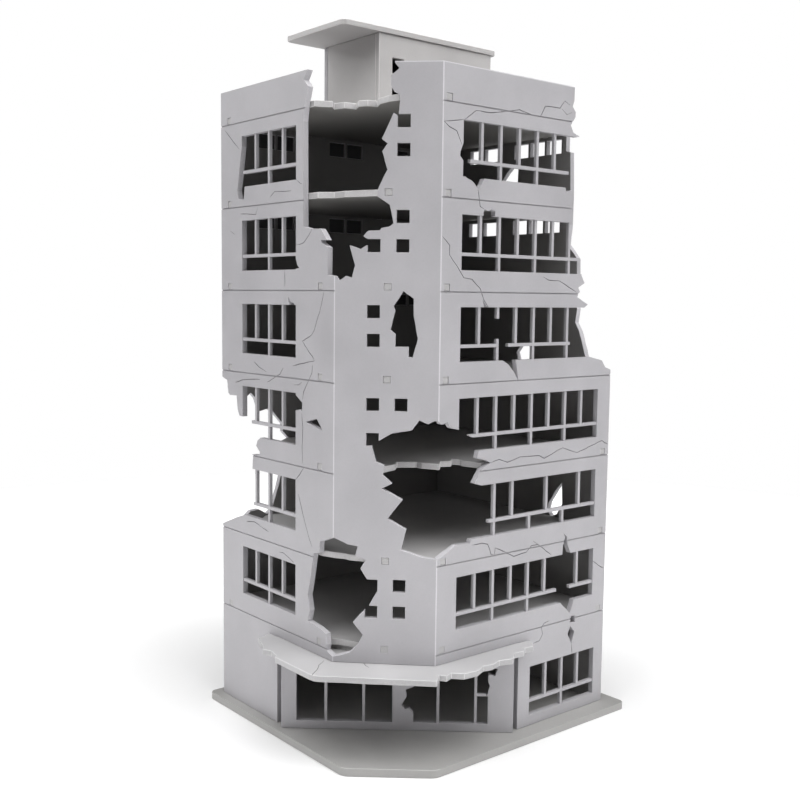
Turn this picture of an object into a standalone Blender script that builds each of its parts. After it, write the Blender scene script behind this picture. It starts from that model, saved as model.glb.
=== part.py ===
"""Miniature terrain ruin: a seven-storey corner building, shelled and cracked.

Every dimension is in millimetres and MM turns it into metres.  Plan X runs along the right
street wall and plan Y along the left street wall.  The streets meet at a 45 degree cut corner,
so the uncut corner is plan (0, 0).  Heights are above the top of the base plate.
A wall is drawn as seen from outside: x to the right, z up, and depth y into the building.
"""

import math

import bmesh
import bpy

MM = 0.001

# Driving dimensions
BASE_THICK = 2.0
WALL_THICK = 1.5
SLAB_THICK = 1.5
GROUND_HEIGHT = 26.1
STOREY_HEIGHT = 22.0
UPPER_STOREYS = 6
PARAPET_HEIGHT = 8.9
CORNER_CUT = 17.84
RIGHT_LENGTH = 62.74
LEFT_LENGTH = 52.58
BAY = 6.4
SILL_HEIGHT = 5.2
HEAD_HEIGHT = 18.4
TRANSOM_HEIGHT = 8.6
BAR_WIDTH = 0.8
BAR_FRONT = 0.25
BAR_BACK = 1.1
BED = 0.3
PANE_FRONT = 0.5
PANE_BACK = 1.0
GAP = 0.1
OVERRUN = 3.0

# Canopy and base plate outlines set the overall plan
CANOPY_LEFT = -9.2
CANOPY_FRONT = -8.4
BASE_LEFT = -2.7
BASE_FRONT = -4.9
BASE_RIGHT = 84.9
BASE_REAR = 73.5
CANOPY_BOTTOM = 22.0
CANOPY_THICK = 1.5

# Stair house on the roof
HOUSE_LEFT = 34.2
HOUSE_RIGHT = 76.3
HOUSE_FRONT = 44.8
HOUSE_TOP = 184.1
LID_THICK = 1.4
LID_LEFT = 21.6
LID_RIGHT = 78.2
LID_FRONT = 44.2
LID_REAR = 71.8
LID_RADIUS = 1.8

# Floor slab tabs, which show as small squares on the walls
TAB_WIDTH = 1.6
TAB_CLEAR = 0.1
TAB_RECESS = 0.15
TAB_ROOT = 1.2
SLAB_LIFT = 0.3

# Foot tabs, which pass through the base plate
FOOT_LENGTH = 6.0
FOOT_DEPTH = 1.8
FOOT_ROOT = 1.0
FOOT_INSET = 0.25
FOOT_CLEAR = 0.15

# Engraved storey line
LINE_HALF = 0.15
LINE_DEPTH = 0.25

# Small square windows
SMALL_WINDOW = 3.1

BUILDING_X = CORNER_CUT + RIGHT_LENGTH
BUILDING_Y = CORNER_CUT + LEFT_LENGTH
CORNER_LENGTH = CORNER_CUT * math.sqrt(2)
MITRE = WALL_THICK * math.tan(math.radians(22.5))
CANOPY_TOP = CANOPY_BOTTOM + CANOPY_THICK
LEVELS = [GROUND_HEIGHT + STOREY_HEIGHT * i for i in range(UPPER_STOREYS + 1)]
ROOF_LEVEL = LEVELS[-1]
WALL_TOP = ROOF_LEVEL + PARAPET_HEIGHT
ORIGIN_X = (CANOPY_LEFT + BASE_RIGHT) / 2
ORIGIN_Y = (CANOPY_FRONT + BASE_REAR) / 2

# Recessed shop front: its line leaves the left wall and reaches the right wall
SHOP_START_Y = 38.1
SHOP_END_X = 43.7
SHOP_TOP = CANOPY_BOTTOM - GAP
LEFT_CUT = 24.8
RIGHT_CUT = 29.0


def clear_scene():
    for obj in list(bpy.data.objects):
        bpy.data.objects.remove(obj, do_unlink=True)


def plastic(name, value, roughness):
    material = bpy.data.materials.new(name)
    material.use_nodes = True
    shader = material.node_tree.nodes["Principled BSDF"]
    shader.inputs["Base Color"].default_value = (value, value * 0.985, value * 1.02, 1)
    shader.inputs["Roughness"].default_value = roughness
    shader.inputs["Metallic"].default_value = 0.0
    return material


def level(storey):
    """Height of the storey line under an upper storey, 1 to 6, and 7 for the roof."""
    return LEVELS[storey - 1]


def add_prism(bm, points, low, high, upright=True):
    """Add a closed prism: upright ones stand in (x, z) along y, the others in (x, y) along z."""
    if upright:
        near = [bm.verts.new((x * MM, low * MM, z * MM)) for x, z in points]
        shift = (0, (high - low) * MM, 0)
    else:
        near = [bm.verts.new((x * MM, y * MM, low * MM)) for x, y in points]
        shift = (0, 0, (high - low) * MM)
    face = bm.faces.new(near)
    result = bmesh.ops.extrude_face_region(bm, geom=[face])
    moved = [item for item in result["geom"] if isinstance(item, bmesh.types.BMVert)]
    bmesh.ops.translate(bm, vec=shift, verts=moved)


def new_object(name, prisms, parent, place=(0, 0, 0), turn=0.0, upright=True, material=None):
    """Make one object from a list of (outline, low, high) prisms."""
    bm = bmesh.new()
    for points, low, high in prisms:
        add_prism(bm, points, low, high, upright)
    bmesh.ops.recalc_face_normals(bm, faces=bm.faces)
    mesh = bpy.data.meshes.new(name)
    bm.to_mesh(mesh)
    bm.free()
    obj = bpy.data.objects.new(name, mesh)
    bpy.context.collection.objects.link(obj)
    obj.parent = parent
    obj.location = [value * MM for value in place]
    obj.rotation_euler = (0, 0, math.radians(turn))
    if material:
        mesh.materials.append(material)
    return obj


def apply_tool(target, operation, name, prisms, upright=True):
    """Join or cut a target with a hidden tool made of prisms."""
    if not prisms:
        return
    tool = new_object(name, prisms, target.parent, upright=upright)
    tool.location = target.location
    tool.rotation_euler = target.rotation_euler
    tool.hide_render = True
    tool.display_type = "WIRE"
    modifier = target.modifiers.new(name, "BOOLEAN")
    modifier.operation = operation
    modifier.solver = "EXACT"
    modifier.use_self = True
    modifier.object = tool


def rectangle(x0, x1, z0, z1):
    return [(x0, z0), (x1, z0), (x1, z1), (x0, z1)]


def rounded_rectangle(x0, x1, y0, y1, radius, steps=5):
    """A rectangle whose corners are quarter circles."""
    centres = [(x1 - radius, y0 + radius), (x1 - radius, y1 - radius),
               (x0 + radius, y1 - radius), (x0 + radius, y0 + radius)]
    points = []
    for quarter, (x, y) in enumerate(centres):
        for step in range(steps + 1):
            angle = math.radians(90) * (quarter - 1 + step / steps)
            points.append((x + radius * math.cos(angle), y + radius * math.sin(angle)))
    return points


def from_corner(points, length):
    """Turn points measured back from a wall's right end into left-to-right points."""
    return [(length - x, z) for x, z in points]


def through(outline):
    """A cutter that passes right through a wall."""
    return (outline, -OVERRUN, WALL_THICK + OVERRUN)


def bar(x0, x1, z0, z1, proud=0.0):
    """One glazing bar, slightly prouder when it is a transom."""
    return (rectangle(x0, x1, z0, z1), BAR_FRONT - proud, BAR_BACK + proud)


def glazing(left, bays, bottom, skip=(), transom=None, ends=None):
    """Bars of one window.

    skip holds ("upper" or "lower", mullion number) of the lost pieces, transom holds the
    spans that are left, and ends gives a mullion piece its own broken (low, high).
    """
    ends = ends or {}
    right = left + bays * BAY
    sill = bottom + SILL_HEIGHT
    head = bottom + HEAD_HEIGHT
    rail = bottom + TRANSOM_HEIGHT
    bars = []
    for number in range(1, bays):
        centre = left + number * BAY
        x0 = centre - BAR_WIDTH / 2
        x1 = centre + BAR_WIDTH / 2
        if ("upper", number) not in skip:
            low, high = ends.get(("upper", number), (rail + BED, head + BED))
            bars.append(bar(x0, x1, low, high))
        if number % 2 == 0 and ("lower", number) not in skip:
            low, high = ends.get(("lower", number), (sill - BED, rail + BED))
            bars.append(bar(x0, x1, low, high))
    if transom is None:
        transom = [(left - BED, right + BED)]
    for x0, x1 in transom:
        bars.append(bar(x0, x1, rail, rail + BAR_WIDTH, proud=0.06))
    return bars


def window_hole(left, bays, bottom):
    return through(rectangle(left, left + bays * BAY, bottom + SILL_HEIGHT, bottom + HEAD_HEIGHT))


def slot(x, storey):
    """Hole in a wall for a floor slab's tab."""
    low = level(storey) + SLAB_LIFT - TAB_CLEAR
    high = level(storey) + SLAB_LIFT + SLAB_THICK + TAB_CLEAR
    return through(rectangle(x - TAB_CLEAR, x + TAB_WIDTH + TAB_CLEAR, low, high))


def storey_lines(x0, x1, levels):
    return [(rectangle(x0, x1, z - LINE_HALF, z + LINE_HALF), -OVERRUN, LINE_DEPTH) for z in levels]


def make_wall(name, outline, place, turn, parent, material, holes, bars, breaks, lines, mitres=()):
    """A wall plate with its openings, glazing bars, breaks and engraved lines."""
    wall = new_object(name, [(outline, 0, WALL_THICK)], parent, place, turn, material=material)
    for x, shift in mitres:
        for vertex in wall.data.vertices:
            if abs(vertex.co.x - x * MM) < 1e-6 and vertex.co.y > 1e-6:
                vertex.co.x += shift * MM
    apply_tool(wall, "DIFFERENCE", name + "_openings", holes)
    apply_tool(wall, "UNION", name + "_bars", bars)
    apply_tool(wall, "DIFFERENCE", name + "_breaks", [through(points) for points in breaks])
    apply_tool(wall, "DIFFERENCE", name + "_lines", lines)
    return wall


def feet(starts):
    """Tabs under a wall that pass through the base plate."""
    return [(rectangle(x, x + FOOT_LENGTH, -FOOT_DEPTH, FOOT_ROOT), FOOT_INSET, WALL_THICK - FOOT_INSET)
            for x in starts]


# Right street wall ---------------------------------------------------------------------------

RIGHT_WINDOW = 6.5
RIGHT_BAYS = 8
RIGHT_TABS = [(1.2, storey) for storey in (7, 6, 5, 4, 2, 1)] + [(59.6, storey) for storey in (3, 2, 1)]
RIGHT_FEET = [32.0, 53.0]
SHOP_WINDOW = 33.4
SHOP_WINDOW_BAYS = 4
SHOP_WINDOW_BOTTOM = -2.3

RIGHT_BREAKS = [
    # far end, from the parapet down to the fourth storey
    [(45.2, 170), (45.1, 163.5), (44.5, 162), (45.7, 160.7), (45.7, 159.5), (44, 157.2), (45, 155.5),
     (47.5, 154.7), (45, 154), (44.2, 152.5), (43.8, 146), (43.8, 144), (42.5, 141.3), (43, 140),
     (44.9, 140.8), (45.0, 127), (46.5, 125), (49.7, 122.8), (49.7, 119), (51, 117), (48.5, 115.8),
     (49.2, 114.7), (48.2, 113.3), (52.5, 111.3), (50, 109.8), (46.6, 104), (46.6, 100), (54, 97.3),
     (59, 96.2), (60.5, 94.3), (64, 93.2), (68, 93.2), (68, 170)],
    # sixth storey, window jamb and sill
    [(7.2, 149.2), (6.5, 149), (5.6, 147), (5.5, 146), (6.5, 145), (7.2, 145)],
    [(6.9, 142), (7.6, 141.1), (9.2, 140.6), (10.3, 139.9), (11.5, 138.6), (12.7, 139.8), (13.9, 142)],
    # fifth storey, window head
    [(13.4, 133.2), (13.8, 134.1), (15.2, 133.7), (16, 134.2), (17.4, 133.8), (17.4, 132.6),
     (16.6, 132.2), (13.6, 132.2)],
    # fourth storey, window head and sill
    [(14.4, 110), (13.6, 112.5), (16, 110)],
    [(20, 97.8), (23, 96.3), (25.3, 94), (26.8, 91.6), (26.2, 95), (25.5, 97.8)],
    # street corner, third and second storeys
    [(-3, 83.3), (0, 83.3), (1.2, 82.6), (2.8, 83.2), (4, 81.6), (6.5, 81), (10.4, 79.2), (13.3, 78),
     (13.3, 75.3), (12.8, 73.5), (16, 72.7), (17.5, 71.9), (14.3, 70.5), (12, 67.3), (14.5, 66.5),
     (17.3, 66.5), (17.3, 53.3), (11.2, 53.3), (11, 52.4), (6.3, 52.6), (4, 51.6), (0, 49.8), (-3, 49.8)],
    # first storey, over and under the window
    [(45, 44), (45.2, 47), (46, 49.2), (45.2, 50.4), (46.7, 49.2), (47, 47), (48.6, 44)],
    [(43.8, 32), (45, 31), (47.7, 28.6), (48.7, 27.7), (49.6, 29.8), (50.3, 32)],
    [(48.9, 25), (50.9, 24.8), (50.7, 26.8), (49.2, 26.8)],
    [(48, 22), (49, 24.2), (50.8, 22.2), (49.7, 18.8)],
]


def right_wall_bars():
    bars = glazing(RIGHT_WINDOW, RIGHT_BAYS, level(6), skip=[("upper", 6), ("upper", 7), ("lower", 6)],
                   transom=[(9, 43.9)])
    bars += glazing(RIGHT_WINDOW, RIGHT_BAYS, level(5), skip=[("upper", 7)], transom=[(6.2, 49.4)])
    head4 = level(4) + HEAD_HEIGHT
    rail4 = level(4) + TRANSOM_HEIGHT
    stub = {("upper", 2): (head4 - 2.8, head4 + 0.3), ("lower", 2): (level(4) + 4.9, rail4 + 2.0)}
    bars += glazing(RIGHT_WINDOW, RIGHT_BAYS, level(4), skip=[("upper", 7)],
                    transom=[(6.2, 19.6), (23, 46.0)], ends=stub)
    bars += glazing(RIGHT_WINDOW, RIGHT_BAYS, level(3), transom=[(10.2, 58)])
    bars += glazing(RIGHT_WINDOW, RIGHT_BAYS, level(2), skip=[("upper", 1), ("upper", 4), ("upper", 6)],
                    transom=[(17.3, 58)])
    bars += glazing(RIGHT_WINDOW, RIGHT_BAYS, level(1), skip=[("upper", 6), ("lower", 6)],
                    transom=[(6.2, 43.1), (48.4, 58)])
    bars += glazing(SHOP_WINDOW, SHOP_WINDOW_BAYS, SHOP_WINDOW_BOTTOM)
    return bars


def make_right_wall(parent, material):
    outline = [(RIGHT_CUT, GAP), (RIGHT_LENGTH, GAP), (RIGHT_LENGTH, WALL_TOP), (GAP / 2, WALL_TOP),
               (GAP / 2, CANOPY_TOP + GAP), (RIGHT_CUT, CANOPY_TOP + GAP)]
    holes = [window_hole(RIGHT_WINDOW, RIGHT_BAYS, level(storey)) for storey in range(1, 7)]
    holes.append(window_hole(SHOP_WINDOW, SHOP_WINDOW_BAYS, SHOP_WINDOW_BOTTOM))
    holes += [slot(x, storey) for x, storey in RIGHT_TABS]
    lines = storey_lines(-OVERRUN, RIGHT_LENGTH + OVERRUN, LEVELS)
    wall = make_wall("wall_right", outline, (CORNER_CUT, 0, 0), 0, parent, material, holes,
                     right_wall_bars(), RIGHT_BREAKS, lines, [(GAP / 2, MITRE)])
    apply_tool(wall, "UNION", "wall_right_feet", feet(RIGHT_FEET))
    return wall


# Left street wall ----------------------------------------------------------------------------

LEFT_WINDOW = 16.3
LEFT_BAYS = 4
LEFT_TABS = [(5, storey) for storey in (5, 4, 3, 1)] + [(47.4, storey) for storey in (7, 6, 5, 4, 1)]
LEFT_FEET = [27.0, 43.0]

LEFT_BREAKS = [
    # street corner, parapet down to the fifth storey
    [(11.4, 170), (11.4, 166.8), (12.9, 164.8), (11.2, 163), (12.3, 159.8), (13, 156.5), (13.2, 155),
     (13, 129.7), (10, 129), (5.8, 128.9), (4.5, 127.6), (3.2, 126.1), (5.6, 126.2), (5.5, 125.6),
     (4.1, 124.9), (2.9, 124.4), (2.9, 117.8), (0, 117.5), (-3, 117.5), (-3, 170)],
    # sixth storey, far jamb of the window
    [(41.4, 154.3), (42.3, 150), (44.3, 140.5), (43.6, 138.3), (41, 138), (40.4, 141.6), (41.4, 143)],
    # fifth storey, sill corner
    [(16.8, 122.3), (16.1, 121.5), (15.7, 120.5), (14.8, 119.6), (16.8, 119.5)],
    # fourth storey, head corner
    [(19.9, 112.6), (18.7, 111.2), (17.3, 111), (16.5, 110.2), (19, 110)],
    # third storey, head corner and a splinter hole
    [(16.8, 88.3), (13.4, 86.3), (13.4, 84), (14.5, 84.5), (16.8, 84)],
    [(11.8, 81.6), (9.5, 82.4), (7, 82.8), (4.6, 80.1), (8, 80.7)],
    # far corner, third and second storeys
    [(56, 49), (52.6, 49), (45, 52), (41.7, 53), (36.9, 56.5), (36.9, 66.4), (36.6, 69.6), (37, 70.4),
     (33.4, 70.6), (33.2, 71.5), (35, 73), (34.3, 74.5), (33, 75.2), (37.8, 78.5), (37.8, 80),
     (43.5, 80.2), (44.5, 82), (45, 85.6), (48.5, 85.5), (49.3, 86), (50, 89.5), (51.8, 90), (56, 92)],
    # street corner, second and first storeys
    [(-3, 54.6), (0, 54.6), (4.4, 52.9), (5.6, 52.7), (5.8, 49.6), (8.2, 49.1), (8.6, 47.3),
     (9.9, 41.1), (10.8, 37.9), (9.9, 34.2), (10.7, 31.2), (5.9, 30.6), (2.9, 29.8), (2.5, 27.1),
     (2.9, 25.8), (0, 24.8), (-3, 24.8)],
]


def left_wall_bars():
    start = LEFT_LENGTH - LEFT_WINDOW - LEFT_BAYS * BAY
    edge = LEFT_LENGTH
    bars = []
    for storey in (6, 5, 4, 1):
        bars += glazing(start, LEFT_BAYS, level(storey))
    bars += glazing(start, LEFT_BAYS, level(3), transom=[(edge - 37.5, edge - LEFT_WINDOW + 0.3)])
    bars += glazing(start, LEFT_BAYS, level(2), transom=[(edge - 36.6, edge - LEFT_WINDOW + 0.3)])
    return bars


def make_left_wall(parent, material):
    outline = [(GAP / 2, CANOPY_TOP + GAP), (LEFT_CUT, CANOPY_TOP + GAP), (LEFT_CUT, GAP),
               (LEFT_LENGTH, GAP), (LEFT_LENGTH, WALL_TOP), (GAP / 2, WALL_TOP)]
    start = LEFT_LENGTH - LEFT_WINDOW - LEFT_BAYS * BAY
    holes = [window_hole(start, LEFT_BAYS, level(storey)) for storey in range(1, 7)]
    holes += [slot(LEFT_LENGTH - x - TAB_WIDTH, storey) for x, storey in LEFT_TABS]
    breaks = [from_corner(points, LEFT_LENGTH) for points in LEFT_BREAKS]
    lines = storey_lines(-OVERRUN, LEFT_LENGTH + OVERRUN, LEVELS)
    wall = make_wall("wall_left", from_corner(outline, LEFT_LENGTH), (0, BUILDING_Y, 0), -90, parent,
                     material, holes, left_wall_bars(), breaks, lines,
                     [(LEFT_LENGTH - GAP / 2, -MITRE)])
    starts = [LEFT_LENGTH - x - FOOT_LENGTH for x in LEFT_FEET]
    apply_tool(wall, "UNION", "wall_left_feet", feet(starts))
    return wall


# Cut corner wall -----------------------------------------------------------------------------

CORNER_OUTER = 14.6
CORNER_INNER = 7.8
CORNER_OUTER_ROWS = [152.0, 145.4, 130.0, 123.2, 85.6, 41.5, 34.9]
CORNER_INNER_ROWS = [123.2, 107.7, 100.9, 85.6, 77.2, 41.4, 34.9]
CORNER_TABS = [(11.9, storey) for storey in (6, 5, 4, 2, 1)]

CORNER_BREAKS = [
    # left half, parapet down to the fifth storey
    [(-3, 170), (13.9, 170), (13.9, 166.7), (15, 165.4), (13.1, 163.8), (13, 161.6), (13.7, 160.3),
     (15, 159.6), (15.2, 158), (14.8, 154.6), (13.7, 155.3), (11, 149.4), (12.4, 148.4),
     (11.1, 146.5), (12.4, 142.3), (10.2, 137.8), (10, 136.2), (13, 134.2), (13.9, 129.9),
     (13, 129.2), (11, 128.8), (10.8, 128.3), (8, 128.2), (6.8, 126.9), (8.1, 126.1), (8.1, 125),
     (6.2, 123.9), (3.6, 124.8), (4.9, 120), (4.2, 117.2), (2.8, 117.6), (1.2, 116.5), (0.6, 117.5),
     (-3, 117.5)],
    # fourth storey, shell hole
    [(16.4, 114.2), (18.9, 112.4), (18.9, 108.5), (20, 103), (18.8, 98.5), (17.8, 98.6), (17.8, 101),
     (14.6, 101), (14.6, 104), (13.4, 105), (14.5, 109.5), (14.1, 110.6)],
    # right half, third and second storeys
    [(29, 83.3), (25.2, 83.3), (24.3, 83.5), (22.7, 82.7), (20.6, 83.6), (18.9, 81.2), (14, 80.3),
     (10.7, 78.3), (9.3, 77.4), (9.2, 76.9), (10.2, 73.3), (12.2, 72.5), (11.9, 70.1), (14.1, 68.1),
     (11.6, 66.9), (16.7, 64.2), (13.2, 59.5), (17.7, 57), (16.5, 52), (22, 50.3), (25.2, 49.8),
     (29, 49.8)],
    # left edge, second and first storeys
    [(-3, 54.6), (0, 54.6), (3.5, 53), (6, 52.6), (5.4, 50.3), (8, 49.2), (6.7, 47.1), (8.4, 44.4),
     (10.8, 44.4), (10.8, 41.6), (8.7, 37.7), (7.9, 36.8), (5, 33.7), (7.4, 30.6), (6.3, 28.3),
     (4.2, 26.1), (1, 25.1), (0, 24.8), (-3, 24.8)],
]


def make_corner_wall(parent, material):
    outline = rectangle(GAP / 2, CORNER_LENGTH - GAP / 2, CANOPY_TOP + GAP, WALL_TOP)
    holes = []
    for x, rows in ((CORNER_OUTER, CORNER_OUTER_ROWS), (CORNER_INNER, CORNER_INNER_ROWS)):
        holes += [through(rectangle(x, x + SMALL_WINDOW, z, z + SMALL_WINDOW)) for z in rows]
    holes += [slot(x, storey) for x, storey in CORNER_TABS]
    mitres = [(GAP / 2, MITRE), (CORNER_LENGTH - GAP / 2, -MITRE)]
    return make_wall("wall_corner", outline, (0, CORNER_CUT, 0), -45, parent, material, holes, [],
                     CORNER_BREAKS, [], mitres)


# Party walls at the side and the rear --------------------------------------------------------

SIDE_START = WALL_THICK + GAP
SIDE_LENGTH = BUILDING_Y - SIDE_START
STRIP_LOW = 17.4
STRIP_HIGH = 21.4
RAISED_STOREY = 4
STRIP_RAISE = 0.8
SIDE_STRIPS = [(18.2, 3), (43.5, 2)]
REAR_STRIPS = [(10.4, 2), (34.8, 2), (59.2, 2)]
SIDE_TABS = [(y, storey) for y in (24, 58) for storey in range(1, 8)]
REAR_TABS = [(x, storey) for x in (27, 53) for storey in range(1, 8)]
SIDE_FEET = [14.0, 52.0]
REAR_FEET = [20.0, 56.0]

SIDE_BREAKS = [
    # near the street, parapet down to the fourth storey
    [(-3, 170), (16.8, 170), (16.8, 153.9), (15.2, 153.5), (14.8, 142), (14.9, 133.5), (15.5, 128),
     (13.4, 125.8), (11.8, 124), (11.6, 119.5), (12.6, 113), (11.2, 110), (11.8, 106.2),
     (10.3, 103.9), (7.6, 96.5), (4, 94.2), (-3, 93.2)],
    # splinter holes on the sixth, fourth and second storeys
    [(35.2, 152.3), (35.4, 146.7), (42.4, 147), (39.8, 149.8), (37.6, 151.6)],
    [(34.4, 96.8), (32.4, 99.2), (29.6, 99.3), (28.2, 97.4), (29, 94.7), (33.6, 94.3)],
    [(15.2, 60.2), (14.9, 54), (16.9, 50.7), (19.2, 49.6), (20.6, 51.6), (20.1, 53.6), (17.5, 57.6)],
]

REAR_BREAKS = [
    # far left corner, second and third storeys
    [(-3, 48.4), (4.6, 48.8), (6.3, 50.2), (8, 51.7), (10.7, 51.9), (13.6, 50.2), (14.9, 51.2), (15.9, 53.7),
     (17.2, 57.4), (18.1, 60.7), (17.6, 64.5), (19.8, 68.8), (21, 71.6), (18.9, 73.7), (18.8, 76.1),
     (15.5, 79.7), (13.9, 80.6), (11.1, 80), (9.8, 83.8), (8.2, 85.4), (6.9, 84.4), (4.6, 86.8),
     (-3, 87.5)],
]


def strip_panes(strips, to_wall):
    """Outlines of a party wall's high window panes, with mullions left between them.

    The fourth storey's panes start a little higher than the others.
    """
    panes = []
    for storey in range(1, 7):
        for first, bays in strips:
            for number in range(bays):
                a = to_wall(first + number * BAY + BAR_WIDTH / 2)
                b = to_wall(first + (number + 1) * BAY - BAR_WIDTH / 2)
                low = level(storey) + STRIP_LOW
                if storey == RAISED_STOREY:
                    low += STRIP_RAISE
                high = level(storey) + STRIP_HIGH
                panes.append(rectangle(min(a, b), max(a, b), low, high))
    return panes


def make_side_wall(parent, material):
    outline = rectangle(0, SIDE_LENGTH, GAP, WALL_TOP)
    holes = [through(pane) for pane in strip_panes(SIDE_STRIPS, lambda y: y - SIDE_START)]
    holes += [slot(y - SIDE_START, storey) for y, storey in SIDE_TABS]
    breaks = [[(y - SIDE_START, z) for y, z in points] for points in SIDE_BREAKS]
    wall = make_wall("wall_side", outline, (BUILDING_X, SIDE_START, 0), 90, parent, material, holes,
                     [], breaks, [])
    apply_tool(wall, "UNION", "wall_side_feet", feet(SIDE_FEET))
    return wall


def make_rear_wall(parent, material):
    right = BUILDING_X - WALL_THICK - GAP
    left = WALL_THICK + GAP
    turned = [(left, GAP), (right, GAP), (right, WALL_TOP), (HOUSE_RIGHT, WALL_TOP),
              (HOUSE_RIGHT, HOUSE_TOP), (HOUSE_LEFT, HOUSE_TOP), (HOUSE_LEFT, WALL_TOP),
              (left, WALL_TOP)]
    outline = [(right - x, z) for x, z in turned]
    panes = strip_panes(REAR_STRIPS, lambda x: right - x)
    holes = [(pane, -OVERRUN, PANE_FRONT) for pane in panes]
    holes += [(pane, PANE_BACK, WALL_THICK + OVERRUN) for pane in panes]
    holes += [slot(right - x - TAB_WIDTH, storey) for x, storey in REAR_TABS]
    breaks = [[(right - x, z) for x, z in points] for points in REAR_BREAKS]
    wall = make_wall("wall_rear", outline, (right, BUILDING_Y, 0), 180, parent, material, holes, [],
                     breaks, [])
    starts = [right - x - FOOT_LENGTH for x in REAR_FEET]
    apply_tool(wall, "UNION", "wall_rear_feet", feet(starts))
    return wall


# Shop front ----------------------------------------------------------------------------------

SHOP_ANGLE = -math.degrees(math.atan2(SHOP_START_Y, SHOP_END_X))
SHOP_START = -1.45
SHOP_STOP = 59.1
SHOP_SILL = 2.2
SHOP_HEAD = 18.6
SHOP_BAR = 0.7
SHOP_RAIL_LOW = 9.6
SHOP_OPENINGS = [(2.5, 27.6), (33.1, 52.5)]
SHOP_MULLIONS = [10.2, 20.1, 39.5, 49.3]
SHOP_FEET = [4.0, 44.0]
SHOP_BREAKS = [
    [(34, 12.2), (31, 11), (31.3, 9.2), (30, 6.8), (30.9, 5.8), (32.1, 6), (33.3, 4.5), (34, 4)],
    [(52, 9.4), (53, 12.3), (52.2, 14.2), (52.7, 15.5), (54.3, 15.1), (54.9, 17), (52, 18)],
]


def make_shop_front(parent, material):
    outline = rectangle(SHOP_START, SHOP_STOP, GAP, SHOP_TOP)
    holes = [through(rectangle(x0, x1, SHOP_SILL, SHOP_HEAD)) for x0, x1 in SHOP_OPENINGS]
    bars = [bar(x - SHOP_BAR / 2, x + SHOP_BAR / 2, SHOP_SILL - BED, SHOP_HEAD + BED)
            for x in SHOP_MULLIONS]
    bars.append(bar(SHOP_MULLIONS[-1], SHOP_OPENINGS[-1][1] + BED, SHOP_RAIL_LOW,
                    SHOP_RAIL_LOW + SHOP_BAR, proud=0.06))
    wall = make_wall("shop_front", outline, (0, SHOP_START_Y, 0), SHOP_ANGLE, parent, material,
                     holes, bars, SHOP_BREAKS, [])
    apply_tool(wall, "UNION", "shop_front_feet", feet(SHOP_FEET))
    return wall


# Canopy and base plate -----------------------------------------------------------------------

CANOPY_OUTLINE = [
    (-GAP, 46.5), (-2.2, 45.2), (-4.8, 44.6), (-6.7, 39.1), (-8.4, 36.4), (-7.4, 33.8), (-8.2, 30.6),
    (CANOPY_LEFT, 29.4), (CANOPY_LEFT, 14.6), (-9.0, 13.2), (-8.2, 12.0), (11.6, -7.5), (12.4, -7.2),
    (14.7, -4.9), (15.8, -6.5), (18.0, -5.7), (20.1, -8.0), (24.2, CANOPY_FRONT), (27.5, -6.9),
    (30.0, -7.5), (33.3, -6.5), (37.0, -7.6), (40.3, -4.9), (43.2, -5.4), (45.2, -3.8), (47.9, -4.2),
    (49.9, -2.0), (50.4, -0.9), (49.8, -GAP),
    (CORNER_CUT + RIGHT_CUT - GAP, -GAP), (CORNER_CUT + RIGHT_CUT - GAP, 0.8),
    (2.3, CORNER_CUT + LEFT_CUT - GAP), (-GAP, CORNER_CUT + LEFT_CUT - GAP)]

BASE_OUTLINE = [(BASE_LEFT, BASE_REAR), (BASE_LEFT, 10), (14.3, BASE_FRONT), (BASE_RIGHT, BASE_FRONT),
                (BASE_RIGHT, BASE_REAR)]


def make_canopy(parent, material):
    return new_object("canopy", [(CANOPY_OUTLINE, CANOPY_BOTTOM, CANOPY_TOP)], parent, upright=False,
                      material=material)


def foot_slots():
    """Rectangles in plan that the wall feet pass through."""
    slots = []
    front = FOOT_INSET - FOOT_CLEAR
    back = WALL_THICK - front

    def add(place, turn, start):
        box = rectangle(start - FOOT_CLEAR, start + FOOT_LENGTH + FOOT_CLEAR, front, back)
        c = math.cos(math.radians(turn))
        s = math.sin(math.radians(turn))
        slots.append([(place[0] + x * c - y * s, place[1] + x * s + y * c) for x, y in box])

    for x in RIGHT_FEET:
        add((CORNER_CUT, 0), 0, x)
    for x in LEFT_FEET:
        add((0, BUILDING_Y), -90, LEFT_LENGTH - x - FOOT_LENGTH)
    for y in SIDE_FEET:
        add((BUILDING_X, SIDE_START), 90, y)
    right = BUILDING_X - WALL_THICK - GAP
    for x in REAR_FEET:
        add((right, BUILDING_Y), 180, right - x - FOOT_LENGTH)
    for x in SHOP_FEET:
        add((0, SHOP_START_Y), SHOP_ANGLE, x)
    return slots


def make_base(parent, material):
    base = new_object("base_plate", [(BASE_OUTLINE, -BASE_THICK, 0)], parent, upright=False,
                      material=material)
    cutters = [(points, -BASE_THICK - OVERRUN, OVERRUN) for points in foot_slots()]
    apply_tool(base, "DIFFERENCE", "base_plate_slots", cutters, upright=False)
    return base


# Floor slabs ---------------------------------------------------------------------------------

INNER = WALL_THICK + GAP
FAR_X = BUILDING_X - INNER
FAR_Y = BUILDING_Y - INNER
DIAGONAL = CORNER_CUT + WALL_THICK * math.sqrt(2) + GAP * math.sqrt(2)
CORNER_START = [(INNER, DIAGONAL - INNER)]
CORNER_END = [(DIAGONAL - INNER, INNER)]
STREET_END = [(FAR_X, INNER)]
REAR_LEFT = [(INNER, FAR_Y)]

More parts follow.
